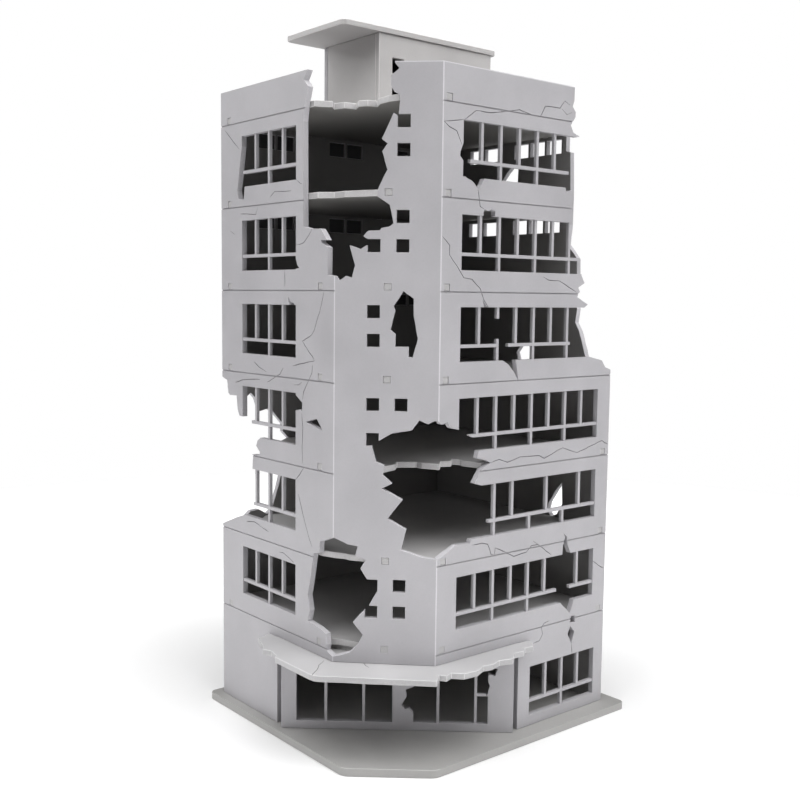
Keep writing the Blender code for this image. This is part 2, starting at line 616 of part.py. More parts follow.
# Broken edges, in the order in which a slab's outline meets them
SLAB_EDGES = {
    1: {"corner": [(INNER, 22.5), (3.6, 20.6), (5.2, 17.2), (6.4, 13.7)] + CORNER_END},
    2: {"corner": [(INNER, 24.6), (2.8, 21.2), (4.1, 18.9), (4.4, 17.0), (6.3, 13.85)] + CORNER_END,
        "rear": [(12.8, FAR_Y), (10.5, 66.4), (6.5, 66.0), (INNER, 63.5)]},
    3: {"corner": CORNER_START + [(9.5, 10.65), (14.7, 12.2), (17.4, 15.0), (21.4, 12.1),
                                  (21.4, 10.2), (23.6, 5.9), (26.8, 9.2), (29.5, 8.2), (31.8, 10.5),
                                  (32.9, 8.7), (32.2, 7.2), (33.3, INNER)],
        "rear": [(20.2, FAR_Y), (15.5, 64.5), (10.5, 61.0), (6.0, 55.5), (INNER, 51.0)]},
    5: {"street": [(65.5, INNER), (68.0, 3.6), (71.5, 5.8), (74.5, 9.4), (FAR_X, 12.6)]},
    6: {"corner": [(INNER, 27.0), (4.4, 24.1), (4.6, 20.2), (6.3, 16.5), (8.5, 11.65)] + CORNER_END,
        "street": [(61.5, INNER), (64.0, 3.2), (68.0, 6.2), (72.0, 10.2), (76.0, 13.6), (FAR_X, 16.8)]},
    7: {"corner": [(INNER, 28.6), (2.8, 28.2), (5.5, 26.5), (7.6, 28.6), (8.4, 25.6), (11.6, 25.2),
                   (9.7, 21.7), (10.9, 19.6), (13.3, 19.0), (11.4, 15.6), (10.9, 11.5), (11.6, 8.55)]
                  + CORNER_END,
        "street": [(61.0, INNER), (63.4, 3.6), (67.0, 5.2), (72.0, 10.6), (75.2, 13.4), (FAR_X, 17.2)]},
}

# Downstand of the first floor behind the street corner, set on the canopy
LEDGE_LOW = CANOPY_TOP + GAP
LEDGE_HIGH = 25.0
LEDGE_OUTLINE = [(INNER, 25.0), (INNER, DIAGONAL - INNER), (8.4, DIAGONAL - 8.4), (9.8, 13.6), (5.4, 22.0)]
STEM_OUTLINE = [(2.6, 24.2), (4.6, 20.6), (6.2, 17.0), (7.6, 13.8), (9.4, 13.8), (5.2, 21.8)]


def slab_outline(storey):
    edges = SLAB_EDGES.get(storey, {})
    points = list(edges.get("corner", CORNER_START + CORNER_END))
    points += edges.get("street", STREET_END)
    points += [(FAR_X, FAR_Y)]
    points += edges.get("rear", REAR_LEFT)
    return points


def tabs(storey):
    """Tabs on a slab's edges, each reaching almost to the outer face of its wall."""
    deep = INNER + TAB_ROOT
    low = TAB_RECESS
    boxes = []
    for x, number in RIGHT_TABS:
        if number == storey:
            a = CORNER_CUT + x
            boxes.append(rectangle(a, a + TAB_WIDTH, low, deep))
    for x, number in LEFT_TABS:
        if number == storey:
            a = CORNER_CUT + x
            boxes.append(rectangle(low, deep, a, a + TAB_WIDTH))
    for y, number in SIDE_TABS:
        if number == storey:
            boxes.append(rectangle(FAR_X - TAB_ROOT, BUILDING_X - low, y, y + TAB_WIDTH))
    for x, number in REAR_TABS:
        if number == storey:
            boxes.append(rectangle(x, x + TAB_WIDTH, FAR_Y - TAB_ROOT, BUILDING_Y - low))
    for x, number in CORNER_TABS:
        if number == storey:
            half = math.sqrt(0.5)
            corners = rectangle(x, x + TAB_WIDTH, low, deep)
            boxes.append([(half * (u + d), CORNER_CUT + half * (d - u)) for u, d in corners])
    return boxes


def make_slab(storey, name, parent, material):
    low = level(storey) + SLAB_LIFT
    high = low + SLAB_THICK
    slab = new_object(name, [(slab_outline(storey), low, high)], parent, upright=False,
                      material=material)
    prisms = [(points, low, high) for points in tabs(storey)]
    if storey == 1:
        prisms.append((LEDGE_OUTLINE, LEDGE_LOW, LEDGE_HIGH))
        prisms.append((STEM_OUTLINE, (LEDGE_LOW + LEDGE_HIGH) / 2, (low + high) / 2))
    apply_tool(slab, "UNION", name + "_tabs", prisms, upright=False)
    return slab


# Stair house on the roof ---------------------------------------------------------------------

HOUSE_FLOOR = ROOF_LEVEL + SLAB_LIFT + SLAB_THICK + GAP
HOUSE_WINDOW = 4.2
HOUSE_WINDOW_LEFT = 4.7
HOUSE_WINDOW_ROWS = [173.9, 166.3]
LIP_CLEAR = 0.3
LIP_DEPTH = 1.2
LIP_ROOT = 0.5


def house_panel(name, width, place, turn, parent, material):
    outline = rectangle(0, width, HOUSE_FLOOR, HOUSE_TOP)
    return new_object(name, [(outline, 0, WALL_THICK)], parent, place, turn, material=material)


def make_house(parent, material):
    """Front and side walls; the rear wall of the building closes the back."""
    width = HOUSE_RIGHT - HOUSE_LEFT
    front = house_panel("stair_house_front", width, (HOUSE_LEFT, HOUSE_FRONT, 0), 0, parent, material)
    left = HOUSE_WINDOW_LEFT
    right = HOUSE_WINDOW_LEFT + HOUSE_WINDOW
    holes = [through(rectangle(left, right, z, z + HOUSE_WINDOW)) for z in HOUSE_WINDOW_ROWS]
    apply_tool(front, "DIFFERENCE", "stair_house_front_openings", holes)
    start = HOUSE_FRONT + WALL_THICK + GAP
    stop = BUILDING_Y - WALL_THICK - GAP
    house_panel("stair_house_left", stop - start, (HOUSE_LEFT, stop, 0), -90, parent, material)
    house_panel("stair_house_right", stop - start, (HOUSE_RIGHT, start, 0), 90, parent, material)


def make_lid(parent, material):
    """Roof of the stair house: a plate with a lip below that drops between the walls."""
    low = HOUSE_TOP + GAP
    outline = rounded_rectangle(LID_LEFT, LID_RIGHT, LID_FRONT, LID_REAR, LID_RADIUS)
    plate = (outline, low, low + LID_THICK)
    lid = new_object("stair_house_roof", [plate], parent, upright=False, material=material)
    inset = WALL_THICK + LIP_CLEAR
    lip = rectangle(HOUSE_LEFT + inset, HOUSE_RIGHT - inset, HOUSE_FRONT + inset, BUILDING_Y - inset)
    apply_tool(lid, "UNION", "stair_house_roof_lip", [(lip, low - LIP_DEPTH, low + LIP_ROOT)],
               upright=False)
    return lid


def build():
    clear_scene()
    assembly = bpy.data.objects.new("ruin", None)
    bpy.context.collection.objects.link(assembly)
    assembly.location = (-ORIGIN_X * MM, -ORIGIN_Y * MM, BASE_THICK * MM)

    make_base(assembly, plastic("base_plastic", 0.50, 0.48))
    make_right_wall(assembly, plastic("right_wall_plastic", 0.47, 0.42))
    make_left_wall(assembly, plastic("left_wall_plastic", 0.47, 0.42))
    make_corner_wall(assembly, plastic("corner_wall_plastic", 0.47, 0.42))
    make_side_wall(assembly, plastic("side_wall_plastic", 0.46, 0.44))
    make_rear_wall(assembly, plastic("rear_wall_plastic", 0.46, 0.44))
    make_shop_front(assembly, plastic("shop_front_plastic", 0.45, 0.42))
    make_canopy(assembly, plastic("canopy_plastic", 0.52, 0.42))
    floor_material = plastic("floor_plastic", 0.48, 0.45)
    for storey in range(1, 7):
        make_slab(storey, "floor_%d" % storey, assembly, floor_material)
    make_slab(7, "roof_deck", assembly, plastic("roof_deck_plastic", 0.50, 0.45))
    make_house(assembly, plastic("stair_house_plastic", 0.50, 0.42))
    make_lid(assembly, plastic("stair_house_roof_plastic", 0.52, 0.42))


build()
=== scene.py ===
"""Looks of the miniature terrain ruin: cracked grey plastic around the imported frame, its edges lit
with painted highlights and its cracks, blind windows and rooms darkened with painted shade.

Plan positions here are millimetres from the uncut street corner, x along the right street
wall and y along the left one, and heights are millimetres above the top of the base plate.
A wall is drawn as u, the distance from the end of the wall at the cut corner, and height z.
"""

import math
import random

import bmesh
import bpy
from mathutils import Matrix, Vector


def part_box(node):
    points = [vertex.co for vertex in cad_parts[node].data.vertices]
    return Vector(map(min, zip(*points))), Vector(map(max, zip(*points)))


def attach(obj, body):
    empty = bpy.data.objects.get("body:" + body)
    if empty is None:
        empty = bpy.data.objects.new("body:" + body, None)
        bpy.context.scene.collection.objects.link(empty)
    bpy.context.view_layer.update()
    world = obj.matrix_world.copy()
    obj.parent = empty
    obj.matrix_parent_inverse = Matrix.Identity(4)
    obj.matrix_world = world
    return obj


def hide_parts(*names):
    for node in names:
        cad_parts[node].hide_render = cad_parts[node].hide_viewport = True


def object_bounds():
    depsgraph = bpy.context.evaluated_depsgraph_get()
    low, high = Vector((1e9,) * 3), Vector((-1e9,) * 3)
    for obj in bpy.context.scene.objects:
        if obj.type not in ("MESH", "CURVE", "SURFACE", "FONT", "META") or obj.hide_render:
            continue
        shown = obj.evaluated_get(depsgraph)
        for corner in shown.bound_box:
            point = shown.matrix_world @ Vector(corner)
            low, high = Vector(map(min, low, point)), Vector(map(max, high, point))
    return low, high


MM = 0.001

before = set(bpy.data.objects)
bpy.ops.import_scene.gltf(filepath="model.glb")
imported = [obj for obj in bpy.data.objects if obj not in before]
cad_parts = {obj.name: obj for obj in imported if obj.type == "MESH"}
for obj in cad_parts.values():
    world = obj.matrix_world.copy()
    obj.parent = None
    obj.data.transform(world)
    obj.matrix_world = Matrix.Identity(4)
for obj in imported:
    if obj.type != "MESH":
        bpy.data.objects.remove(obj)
cad_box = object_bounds()

# Measures --------------------------------------------------------------------------------------

# Legs of the cut corner, and thickness of the walls, in millimetres
CORNER_CUT = 17.84
WALL_THICK = 1.5

UPPER_STOREYS = 6

# Planes of the frame, in metres
BASE_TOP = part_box("base_plate")[1].z
CORNER_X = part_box("wall_left")[0].x
CORNER_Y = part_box("wall_right")[0].y
FAR_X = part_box("wall_side")[1].x
FAR_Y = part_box("wall_rear")[1].y

# Height of the canopy's top, and the ends of the shop front's line in plan, in millimetres
CANOPY_TOP = (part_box("canopy")[1].z - BASE_TOP) / MM
SHOP_START_Y = 38.1
SHOP_END_X = 43.7

# Sizes of the fine surface work, in millimetres
WELD = 0.002
BEVEL = 0.14
SHORTEST_BEVELLED = 0.38
PLATE_RADIUS = 1.3
RIM = 0.22
JAG_STEP = 1.1
JAG = 0.06
CRACK_WIDTH = 0.2
CRACK_DEPTH = 0.2
CRACK_STEP = 1.5
CRACK_JITTER = 0.09
JOINT_SHIFT = 0.045
JOINT_GAP = 0.05
JOINT_REACH = 0.04
ARRIS = 0.15
TAB_SWELL = 0.06
TAB_PUSH = 0.08
TAB_REACH = 2.6

# Shares of a crack's width at its ends and along it, and the smallest share of its depth
CRACK_END = 0.45
CRACK_WIDTHS = (0.75, 1.2)
CRACK_SHALLOWEST = 0.4

# Share of a crack's depth by which its V starts outside the face, and its half width there
GROOVE_LIFT = 0.5
GROOVE_SPREAD = 0.5 * (1 + GROOVE_LIFT)

# Flats in a rounded corner of the base plate
CORNER_SEGMENTS = 5

# Angles in degrees
FLAT_ANGLE = 0.6
BEVELLED_ANGLE = 32
MITRE_TURN = 22.5

# Tests for the kinds of face and edge, as cosines
FACING = 0.9
EDGE_ON = 0.2
UPRIGHT_FACE = 0.02
UPRIGHT_EDGE = 0.99
DIAGONAL = 0.01
SLANT = 0.06
ALONG_RIM = 0.3
SAME_LINE = 0.97

# Smallest areas of a wall's mitred end and of a slab's diagonal edge, in square millimetres
WALL_END_AREA = 20
DIAGONAL_AREA = 12

# How far inside a wall's faces its panes lie at least, in millimetres
PANE_INSET = 0.3

# Shortest rim that is split, in steps of the jag
SPLIT_FROM = 1.5

# Share of a wall's thickness within which a slab's point counts as in the wall
IN_WALL = 0.7

# Smallest distances told apart, in metres
CUT_TOLERANCE = 1e-8
SAME_PLACE = 1e-6

# Material slots of every plastic piece: the body, the cracks (painted shade), the broken faces
# (rough, toned as painted light), the edge bevels (painted highlight), the blind window backs
# (painted shade) and the faces that look into the rooms (painted shade)
BODY, GROOVE_SHADE, FRACTURE, EDGE_HIGHLIGHT, RECESS_SHADE, INSIDE_SHADE = range(6)


def plan(x, y, z):
    """Row-frame point from plan millimetres and height."""
    return Vector((CORNER_X + x * MM, CORNER_Y + y * MM, BASE_TOP + z * MM))


class Face:
    """The outer face of a wall or plate: an origin, a direction for u, one for v and one inwards."""

    def __init__(self, origin, along, up, inward):
        self.origin = Vector(origin)
        self.along = Vector(along)
        self.up = Vector(up)
        self.inward = Vector(inward)

    def point(self, u, v, depth=0.0):
        return self.origin + (self.along * u + self.up * v + self.inward * depth) * MM

    def local(self, position):
        offset = (position - self.origin) / MM
        return offset.dot(self.along), offset.dot(self.up), offset.dot(self.inward)


HALF = math.sqrt(0.5)
RIGHT = Face(plan(CORNER_CUT, 0, 0), (1, 0, 0), (0, 0, 1), (0, 1, 0))
LEFT = Face(plan(0, CORNER_CUT, 0), (0, 1, 0), (0, 0, 1), (1, 0, 0))
CORNER = Face(plan(0, CORNER_CUT, 0), (HALF, -HALF, 0), (0, 0, 1), (HALF, HALF, 0))
TOP = Face(plan(0, 0, 0), (1, 0, 0), (0, 1, 0), (0, 0, -1))


# Materials -------------------------------------------------------------------------------------

# Range of a noise texture's values that is used
NOISE_LOW = 0.3
NOISE_HIGH = 0.7


def add_node(tree, kind, **values):
    """A shader node with its inputs set by name; keys with a leading attr_ are attributes."""
    node = tree.nodes.new(kind)
    for key, value in values.items():
        if key.startswith("attr_"):
            setattr(node, key[5:], value)
        else:
            node.inputs[key.replace("_", " ")].default_value = value
    return node


def plastic(name, colour, roughness, mottle=0.05, grain=0.02, bump=0.012):
    """Moulded styrene: slow mottling, fine grain, specks of dust and a satin, uneven gloss."""
    material = bpy.data.materials.new(name)
    material.use_nodes = True
    tree = material.node_tree
    shader = tree.nodes["Principled BSDF"]
    shader.inputs["IOR"].default_value = 1.5
    shader.inputs["Specular IOR Level"].default_value = 0.45
    place = add_node(tree, "ShaderNodeTexCoord")
    slow = add_node(tree, "ShaderNodeTexNoise", Scale=70.0, Detail=4.0, Roughness=0.55)
    fine = add_node(tree, "ShaderNodeTexNoise", Scale=2600.0, Detail=3.0, Roughness=0.6)
    speck = add_node(tree, "ShaderNodeTexVoronoi", Scale=420.0, attr_feature="F1")
    for texture in (slow, fine, speck):
        tree.links.new(place.outputs["Object"], texture.inputs["Vector"])

    tone = add_node(tree, "ShaderNodeMapRange", From_Min=NOISE_LOW, From_Max=NOISE_HIGH,
                    To_Min=1 - mottle, To_Max=1 + mottle)
    tree.links.new(slow.outputs["Fac"], tone.inputs["Value"])
    tooth = add_node(tree, "ShaderNodeMapRange", From_Min=NOISE_LOW, From_Max=NOISE_HIGH,
                     To_Min=1 - grain, To_Max=1 + grain)
    tree.links.new(fine.outputs["Fac"], tooth.inputs["Value"])
    dust = add_node(tree, "ShaderNodeMapRange", From_Min=0.0, From_Max=0.11, To_Min=0.93, To_Max=1.0)
    tree.links.new(speck.outputs["Distance"], dust.inputs["Value"])

    product = tone.outputs["Result"]
    for source in (tooth, dust):
        multiply = add_node(tree, "ShaderNodeMath", attr_operation="MULTIPLY")
        tree.links.new(product, multiply.inputs[0])
        tree.links.new(source.outputs["Result"], multiply.inputs[1])
        product = multiply.outputs[0]
    tint = add_node(tree, "ShaderNodeVectorMath", attr_operation="SCALE")
    tint.inputs[0].default_value = colour
    tree.links.new(product, tint.inputs["Scale"])
    tree.links.new(tint.outputs["Vector"], shader.inputs["Base Color"])

    gloss = add_node(tree, "ShaderNodeMapRange", From_Min=NOISE_LOW, From_Max=NOISE_HIGH,
                     To_Min=roughness - 0.05, To_Max=roughness + 0.07)
    tree.links.new(slow.outputs["Fac"], gloss.inputs["Value"])
    tree.links.new(gloss.outputs["Result"], shader.inputs["Roughness"])

    relief = add_node(tree, "ShaderNodeBump", Strength=0.35, Distance=bump * MM)
    tree.links.new(fine.outputs["Fac"], relief.inputs["Height"])
    tree.links.new(relief.outputs["Normal"], shader.inputs["Normal"])
    return material


# Painted shade on the faces that look into the rooms: their tone, darker and a little warmer, as a
# share of each channel
INSIDE_SHADE_TINT = (0.64, 0.637, 0.605)


def finish_set(name, colour, roughness, fracture=1.22, edge=1.5):
    """The six finishes of one plastic, in slot order.

    fracture and edge are the tones of the broken faces and the edge bevels, as shares of colour:
    painted light, lighter than the body as painted highlights, and darker as painted shade where
    below 1.
    """
    def shade(factor):
        return tuple(channel * factor for channel in colour)

    return [
        plastic(name, shade(1.0), roughness),
        # the cracks' grooves: toned darker than the body as painted shade
        plastic(name + "_groove", shade(0.55), roughness=0.7, mottle=0.1),
        # the broken faces: really rougher and bumpier, and toned as painted light, lighter as a
        # painted highlight and darker as painted shade where the factor is below 1
        plastic(name + "_fracture", shade(fracture), roughness=0.58, mottle=0.08, grain=0.06,
                bump=0.05),
        # the edge bevels: toned lighter than the body as a painted highlight
        plastic(name + "_edge", shade(edge), roughness=0.4),
        # the blind window backs: nearly black, as painted shade
        plastic(name + "_recess", shade(0.12), roughness=0.35),
        # the faces that look into the rooms: toned darker and warmer as painted shade
        plastic(name + "_inside", tuple(a * b for a, b in zip(colour, INSIDE_SHADE_TINT)),
                roughness=0.5),
    ]


FINISHES = {
    "wall_plastic": finish_set("wall_plastic", (0.427, 0.418, 0.437), roughness=0.42),
    "floor_plastic": finish_set("floor_plastic", (0.42, 0.413, 0.415), roughness=0.46),
    "base_plastic": finish_set("base_plastic", (0.37, 0.365, 0.357), roughness=0.46),
    # the canopy's broken faces are toned a little darker as painted shade, and its edge bevels get a
    # gentler painted highlight
    "canopy_plastic": finish_set("canopy_plastic", (0.46, 0.455, 0.462), roughness=0.42,
                                 fracture=0.95, edge=1.2),
    "stair_house_plastic": finish_set("stair_house_plastic", (0.52, 0.507, 0.504),
                                      roughness=0.42),
}


# Fine surface work -----------------------------------------------------------------------------

def clean_copy(node):
    """The node's shape as one welded mesh with flat faces in one piece."""
    bm = bmesh.new()
    bm.from_mesh(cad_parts[node].data)
    bmesh.ops.remove_doubles(bm, verts=bm.verts, dist=WELD * MM)
    bmesh.ops.dissolve_limit(bm, angle_limit=math.radians(FLAT_ANGLE), verts=bm.verts, edges=bm.edges)
    for item in bm.faces:
        item.material_index = BODY
    return bm


def everything(bm):
    """All the points, edges and faces, as a plane cuts them."""
    return list(bm.verts) + list(bm.edges) + list(bm.faces)


def skewed(bm, face):
    """Side faces of breaks, which face neither along u nor v."""
    found = []
    for item in bm.faces:
        u = abs(item.normal.dot(face.along))
        v = abs(item.normal.dot(face.up))
        edge_on = abs(item.normal.dot(face.inward)) < EDGE_ON
        if edge_on and min(u, v) > SLANT * max(u, v):
            found.append(item)
    return found


def roughen(bm, face, keep, rng):
    """Split the rims of the breaks into short runs and nudge their points within the plate."""
    edges = set()
    for item in skewed(bm, face):
        if keep and keep(item):
            continue
        item.material_index = FRACTURE
        for edge in item.edges:
            along = (edge.verts[0].co - edge.verts[1].co).normalized()
            roomy = edge.calc_length() > SPLIT_FROM * JAG_STEP * MM
            if roomy and abs(along.dot(face.inward)) < ALONG_RIM:
                edges.add(edge)
    for edge in sorted(edges, key=lambda e: e.index):
        length = edge.calc_length() / MM
        pieces = max(2, round(length / JAG_STEP))
        direction = (edge.verts[1].co - edge.verts[0].co).normalized()
        across = direction.cross(face.inward).normalized()
        start = edge.verts[0]
        current = edge
        for number in range(pieces - 1):
            share = 1.0 / (pieces - number)
            current, vertex = bmesh.utils.edge_split(current, start, share)
            vertex.co += across * rng.uniform(-JAG, JAG) * MM
            current = next_along(vertex, current, direction)
            if current is None:
                break
            start = vertex


def next_along(vertex, current, direction):
    """The other edge at a vertex that goes on in the same line, or None."""
    for edge in vertex.link_edges:
        run = (edge.other_vert(vertex).co - vertex.co).normalized()
        if edge is not current and abs(run.dot(direction)) > SAME_LINE:
            return edge
    return None


def close_joint(bm, face, u, slope, shift):
    """Move a mitred end until it meets its neighbour, and ease the corner with a narrow flat in the
    edge finish, a painted highlight.

    The end runs in depth from u at the given slope, and shift is towards the neighbour.
    """
    for vertex in bm.verts:
        position = face.local(vertex.co)
        if abs(position[0] - u - slope * position[2]) < JOINT_REACH:
            vertex.co += face.along * shift * MM
    tip = face.point(u + shift, 0)
    turn = math.radians(MITRE_TURN) * (1 if shift > 0 else -1)
    outward = face.along * math.sin(turn) - face.inward * math.cos(turn)
    cut = bmesh.ops.bisect_plane(
        bm, geom=everything(bm), dist=CUT_TOLERANCE,
        plane_co=tip - outward * ARRIS * MM * math.sin(math.radians(MITRE_TURN)), plane_no=outward,
        clear_outer=True)
    rim = [item for item in cut["geom_cut"] if isinstance(item, bmesh.types.BMEdge)]
    filled = bmesh.ops.holes_fill(bm, edges=rim, sides=0)
    # the narrow flat takes the edge finish: a painted highlight down the corner
    for item in filled["faces"]:
        item.material_index = EDGE_HIGHLIGHT


def swell_tabs(bm):
    """Fit the ends of a slab's tabs closely in the walls' slots."""
    groups = []
    for vertex in bm.verts:
        outward = tab_direction(vertex.co)
        if outward is None:
            continue
        for group in groups:
            if (group[0][0].co - vertex.co).length < TAB_REACH * MM:
                group.append((vertex, outward))
                break
        else:
            groups.append([(vertex, outward)])
    for group in groups:
        middle = sum((vertex.co for vertex, outward in group), Vector()) / len(group)
        for vertex, outward in group:
            offset = vertex.co - middle
            along = offset - outward * offset.dot(outward)
            across = Vector((along.x, along.y, 0))
            if across.length > SAME_PLACE:
                vertex.co += across.normalized() * TAB_SWELL * MM
            vertex.co.z += math.copysign(TAB_SWELL * MM, along.z)
            vertex.co += outward * TAB_PUSH * MM


def tab_direction(position):
    """The wall that a point is in, as its outward direction, or None inside the building."""
    x = (position.x - CORNER_X) / MM
    y = (position.y - CORNER_Y) / MM
    limit = WALL_THICK * IN_WALL
    depths = (
        (x, Vector((-1, 0, 0))),
        (y, Vector((0, -1, 0))),
        ((x + y - CORNER_CUT) * HALF, Vector((-HALF, -HALF, 0))),
        ((FAR_X - position.x) / MM, Vector((1, 0, 0))),
        ((FAR_Y - position.y) / MM, Vector((0, 1, 0))),
    )
    for depth, outward in depths:
        if depth < limit:
            return outward
    return None


def paint_rim_highlight(bm):
    """Give the rim along the top of a wall the edge finish: a painted highlight."""
    height = max(vertex.co.z for vertex in bm.verts) - RIM * MM
    bmesh.ops.bisect_plane(bm, geom=everything(bm), dist=CUT_TOLERANCE, plane_co=(0, 0, height),
                           plane_no=(0, 0, 1))
    for item in bm.faces:
        if item.calc_center_median().z > height:
            item.material_index = EDGE_HIGHLIGHT


def shade_inside(bm, direction):
    """Give the large faces that look into the rooms the inside finish: darker, as painted shade."""
    for item in bm.faces:
        if item.material_index == BODY and item.normal.dot(direction) > FACING:
            item.material_index = INSIDE_SHADE


def bevel_rims(bm):
    """Narrow bevels on the edges that have room for them, in the edge finish: a painted highlight."""
    limit = SHORTEST_BEVELLED * MM
    roomy = {v for v in bm.verts if all(e.calc_length() > limit for e in v.link_edges)}
    edges = []
    for edge in bm.edges:
        if len(edge.link_faces) != 2 or edge.verts[0] not in roomy or edge.verts[1] not in roomy:
            continue
        if any(item.material_index == EDGE_HIGHLIGHT for item in edge.link_faces):
            continue
        if edge.calc_face_angle(0.0) > math.radians(BEVELLED_ANGLE):
            edges.append(edge)
    # the bevel faces take the edge finish, a painted highlight
    bmesh.ops.bevel(bm, geom=edges, offset=BEVEL * MM, segments=1, profile=0.5,
                    affect="EDGES", clamp_overlap=True, material=EDGE_HIGHLIGHT)


def round_corners(bm, radius):
    """Round a plate's upright outer corners; those of its slots are concave and stay sharp."""
    corners = []
    for edge in bm.edges:
        direction = (edge.verts[1].co - edge.verts[0].co).normalized()
        if abs(direction.z) > UPRIGHT_EDGE and edge.is_convex:
            corners.append(edge)
    bmesh.ops.bevel(bm, geom=corners, offset=radius * MM, segments=CORNER_SEGMENTS, profile=0.5,
                    affect="EDGES")


def groove(bm, face, points, rng):
    """One crack: a V groove along a jagged line that thins out at its ends."""
    line = [Vector(points[0])]
    for a, b in zip(points, points[1:]):
        start = Vector(a)
        run = Vector(b) - start
        steps = max(1, round(run.length / CRACK_STEP))
        side = Vector((-run.y, run.x)).normalized()
        for number in range(1, steps):
            spot = start + run * (number / steps)
            line.append(spot + side * rng.uniform(-CRACK_JITTER, CRACK_JITTER))
        line.append(Vector(b))
    sections = []
    for number, spot in enumerate(line):
        before = line[max(0, number - 1)]
        after = line[min(len(line) - 1, number + 1)]
        run = (after - before).normalized()
        side = Vector((-run.y, run.x))
        at_end = number in (0, len(line) - 1)
        taper = CRACK_END if at_end else rng.uniform(*CRACK_WIDTHS)
        half = side * (CRACK_WIDTH * taper * GROOVE_SPREAD)
        bottom = CRACK_DEPTH * (CRACK_SHALLOWEST + (1 - CRACK_SHALLOWEST) * taper)
        sections.append([
            bm.verts.new(face.point(*(spot + half), -GROOVE_LIFT * CRACK_DEPTH)),
            bm.verts.new(face.point(*(spot - half), -GROOVE_LIFT * CRACK_DEPTH)),
            bm.verts.new(face.point(*spot, bottom)),
        ])
    made = [bm.faces.new(sections[0]), bm.faces.new(reversed(sections[-1]))]
    for first, second in zip(sections, sections[1:]):
        for i in range(3):
            j = (i + 1) % 3
            made.append(bm.faces.new((first[j], first[i], second[i], second[j])))
    return made


def cut_cracks(obj, face, cracks, rng):
    """Cut every crack of a plate out of it at once."""
    bm = bmesh.new()
    for points in cracks:
        groove(bm, face, points, rng)
    bmesh.ops.recalc_face_normals(bm, faces=bm.faces)
    # the crack's walls take the groove finish: painted shade
    for item in bm.faces:
        item.material_index = GROOVE_SHADE
    mesh = bpy.data.meshes.new(obj.name + "_cracks")
    bm.to_mesh(mesh)
    bm.free()
    for material in obj.data.materials:
        mesh.materials.append(material)
    cutter = bpy.data.objects.new(obj.name + "_cracks", mesh)
    bpy.context.scene.collection.objects.link(cutter)
    modifier = obj.modifiers.new("cracks", "BOOLEAN")
    modifier.operation = "DIFFERENCE"
    modifier.solver = "EXACT"
    modifier.use_self = True
    modifier.object = cutter
    bpy.context.view_layer.update()
    evaluated = obj.evaluated_get(bpy.context.evaluated_depsgraph_get())
    cut = bpy.data.meshes.new_from_object(evaluated)
    obj.modifiers.clear()
    old = obj.data
    obj.data = cut
    bpy.data.meshes.remove(old)
    bpy.data.objects.remove(cutter, do_unlink=True)


def make_piece(node, slot, face, cracks=(), keep=None, seed=1, recess=None, joints=(),
               inside=None):
    """Make the finished piece that stands for a CAD node.

    keep and recess are tests for the side faces that aren't broken and for the window backs painted
    near-black as painted shade, joints are the mitred ends as close_joint takes them, and inside
    points into the rooms.
    """
    rng = random.Random(seed)
    bm = clean_copy(node)
    for u, slope, shift in joints:
        close_joint(bm, face, u, slope, shift)
    if node.startswith("floor") or node == "roof_deck":
        swell_tabs(bm)
    if node == "base_plate":
        round_corners(bm, PLATE_RADIUS)
    # the top rim of these walls gets a painted highlight
    if node in ("wall_right", "wall_corner"):
        paint_rim_highlight(bm)
    roughen(bm, face, keep, rng)
    if inside:
        shade_inside(bm, Vector(inside))
    # the window backs get the near-black finish: painted shade
    if recess:
        for item in bm.faces:
            if recess(item):
                item.material_index = RECESS_SHADE
    bevel_rims(bm)
    mesh = bpy.data.meshes.new(node + "_skin")
    bm.to_mesh(mesh)
    bm.free()
    piece = bpy.data.objects.new(node + "_skin", mesh)
    bpy.context.scene.collection.objects.link(piece)
    for material in FINISHES[slot]:
        mesh.materials.append(material)
    if cracks:
        cut_cracks(piece, face, cracks, rng)
    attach(piece, "root")
    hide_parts(node)


# Cracks, as (u, z) points on each wall ---------------------------------------------------------

RIGHT_CRACKS = [
    # sixth storey and parapet
    [(6.7, 154.4), (10.3, 156.9), (16, 157.1), (20.5, 158), (25, 158.9), (29, 158.2), (32.5, 158),
     (34.2, 160.8), (39.7, 161), (41.5, 163), (43.5, 162.2)],
    [(6.6, 154.5), (0.3, 153.4), (2, 152.3), (4.3, 151.6), (6, 148.6)],
    [(11.4, 138.8), (11.9, 136.6), (12.3, 134.6), (13.6, 134.1)],
    [(40.5, 160.9), (42.4, 159.7), (44.2, 160.4)],
    # fifth storey
    [(0.3, 127), (2.6, 125), (2.6, 122.8), (5, 120.3), (7.3, 117.5), (10, 117.2), (12.8, 115),
     (14, 112.4), (15.8, 110.3)],
    [(35, 118.3), (37, 117.5), (41, 117.4), (45, 115.7), (47.8, 114.5)],
    # third and second storeys
    [(17.5, 71.9), (20.5, 72.5), (23.5, 71.5), (28, 72.5), (35, 72.2), (37, 71.3), (44, 73.5),
     (50, 71.7), (60, 74.2), (62.5, 73)],
    [(11.5, 51.9), (15, 51.9), (17, 51.3), (18.2, 48.6), (19.4, 48.2), (19.7, 50), (22.6, 48.7),
     (26.5, 46.8), (31, 47.2), (33, 48.7), (35.4, 48.6)],
    [(33.6, 49.8), (35.4, 48.6), (38.4, 46.6), (40.5, 45.2)],
    # first storey and shop
    [(57.5, 41), (60, 39.3), (62.5, 38)],
    [(40.5, 27.2), (38.6, 26.9), (37.5, 26), (38, 24), (36.8, 22.4), (34.5, 22.2)],
    [(49.7, 18.8), (50, 16)],
]

